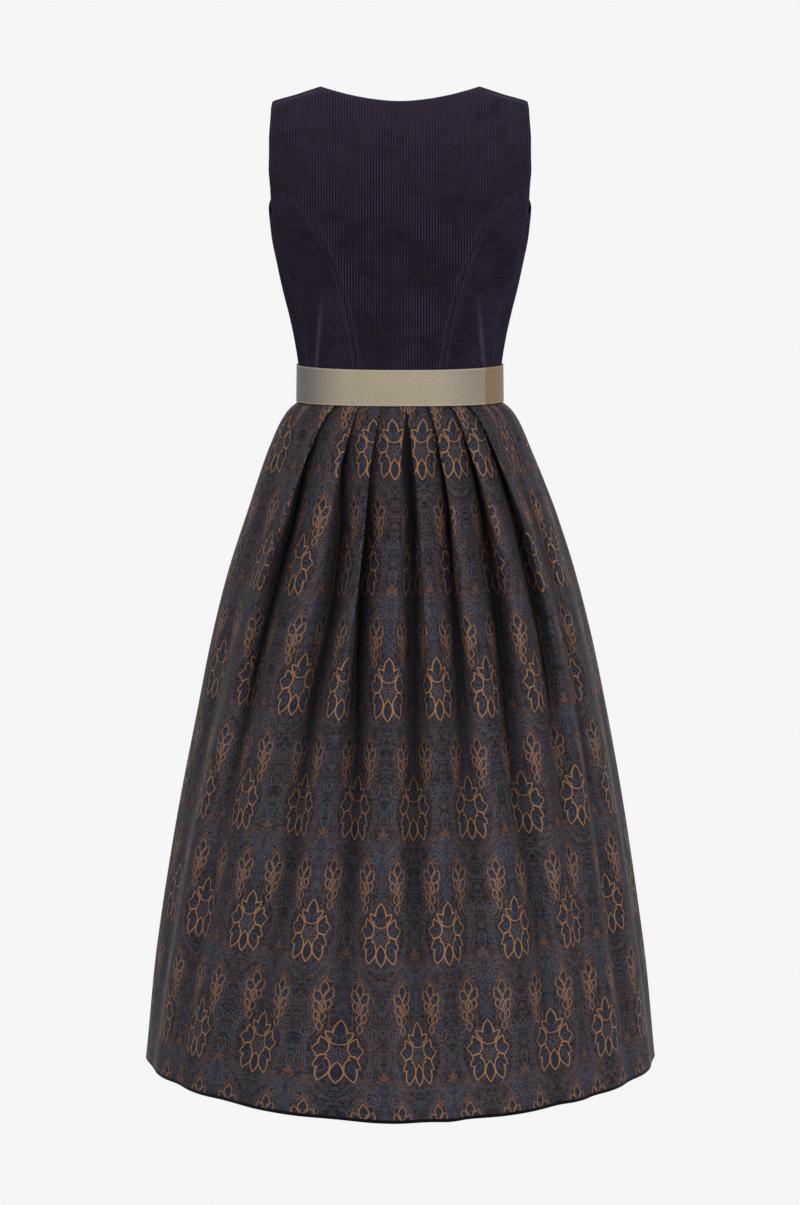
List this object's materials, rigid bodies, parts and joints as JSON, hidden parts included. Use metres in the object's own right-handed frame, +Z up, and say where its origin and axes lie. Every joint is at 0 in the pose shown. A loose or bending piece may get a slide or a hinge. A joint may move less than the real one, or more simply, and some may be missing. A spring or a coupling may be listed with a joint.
{
  "type": "dirndl",
  "caption": "Sleeveless dirndl dress, worn shape: corduroy bodice with princess seams, knife-pleated brocade skirt and a ribbon belt.",
  "frame": {"origin": "midway between the inner ends of the two shoulder seams, where the wearer's shoulders carry the dress", "axes": "+Z up; the centre back faces -Y, the centre front faces +Y; +X is the wearer's right, which is the right-hand side of a view from behind"},
  "size_m": [0.7193, 0.6107, 1.3446],
  "materials": {
    "corduroy": "dark aubergine cotton corduroy, vertical wales about 3.9 mm apart, soft nap",
    "brocade": "dark woven brocade with copper, blue and grey-violet floral pattern, slight sheen",
    "ribbon": "beige-grey ribbed silk ribbon, soft sheen",
    "ribbon_end": "darker tan ribbon, soft sheen"
  },
  "bodies": {
    "root": {"bodice_back": "corduroy", "bodice_side_back_left": "corduroy", "bodice_side_back_right": "corduroy", "bodice_side_front_left": "corduroy", "bodice_side_front_right": "corduroy", "bodice_front_left": "corduroy", "bodice_front_right": "corduroy", "skirt_front_left": "brocade", "skirt_back": "brocade", "skirt_front_right": "brocade", "belt_band": "ribbon", "belt_end": "ribbon_end"}
  },
  "joints": []
}
